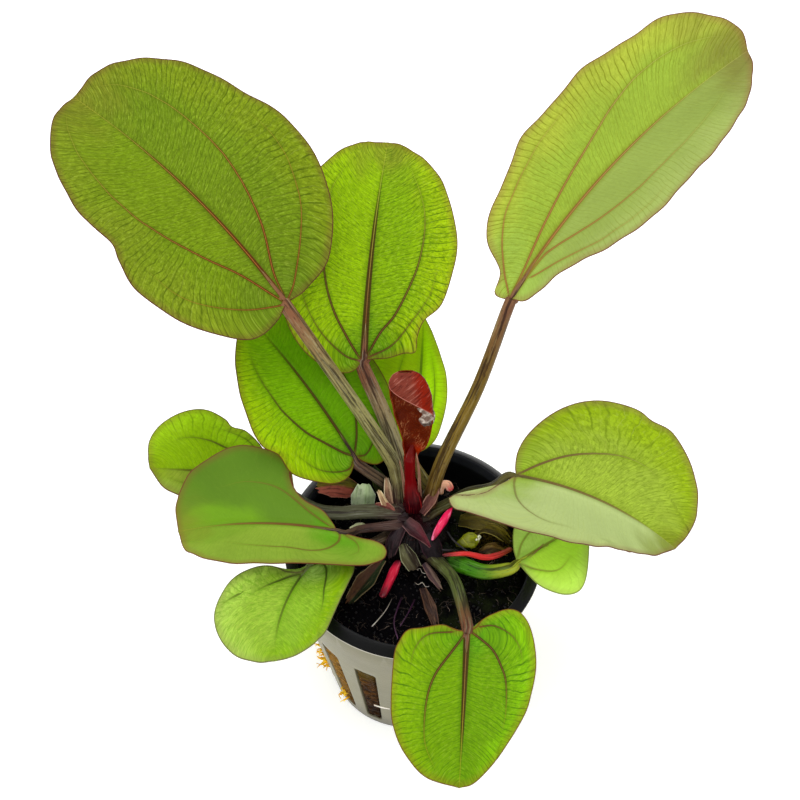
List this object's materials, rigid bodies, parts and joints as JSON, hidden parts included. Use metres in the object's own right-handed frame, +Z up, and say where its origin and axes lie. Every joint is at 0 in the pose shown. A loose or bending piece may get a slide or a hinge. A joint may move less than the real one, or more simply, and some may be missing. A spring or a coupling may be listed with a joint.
{
  "type": "echinodorus reni aquarium plant in a net pot",
  "caption": "Young sword plant with broad oval leaves on long stalks and a rolled red-brown new leaf, growing in a tapered slotted net pot filled with dark rock wool.",
  "frame": {"origin": "centre of the pot's flat foot, on the surface that the pot stands on", "axes": "+Z up along the pot's axis; -Y towards the plant's front, the side with the leaf that hangs over the rim; +X to the right seen from the front"},
  "size_m": [0.14, 0.1359, 0.1327],
  "materials": {
    "pot_plastic": "moulded plastic, black collar and inside, light grey glossy outer wall",
    "growing_medium": "wet dark rock wool with old roots and fibres",
    "crown": "dark purple-brown rootstock",
    "pebble": "rough white grain",
    "leaf": "semi-gloss green leaf with fine red-brown veins and margin",
    "young_leaf": "glossy red-brown rolled leaf",
    "red_stalk": "smooth crimson stalk",
    "pale_shoot": "smooth pale pink shoot",
    "old_leaf": "withered brown and dark green leaf tissue",
    "pale_stub": "pale grey-green leaf stub",
    "sheath": "thin papery tan and pink sheath",
    "leaf_bud": "olive green bud with a pale tip"
  },
  "bodies": {
    "root": {"pot": "pot_plastic", "growing_medium": "growing_medium", "crown": "crown", "pebble": "pebble", "leaf_upper_left": "leaf", "leaf_upper_middle": "leaf", "leaf_upper_right": "leaf", "leaf_rear_left": "leaf", "leaf_rear_right": "leaf", "leaf_left_small": "leaf", "leaf_left_folded": "leaf", "leaf_lower_left": "leaf", "leaf_front": "leaf", "leaf_right": "leaf", "leaf_right_small": "leaf", "young_leaf": "young_leaf", "cut_stalk_right": "red_stalk", "cut_stalk_front": "red_stalk", "red_shoot": "red_stalk", "pale_shoot": "pale_shoot", "old_leaf_left": "old_leaf", "grey_leaf_stub": "pale_stub", "dark_leaf_piece": "old_leaf", "papery_sheath_rear": "sheath", "papery_sheath_side": "sheath", "pointed_bract": "old_leaf", "pale_stub": "pale_stub", "dried_leaf": "old_leaf", "pink_sheath": "sheath", "stringy_leaf": "old_leaf", "leaf_bud": "leaf_bud"}
  },
  "joints": []
}
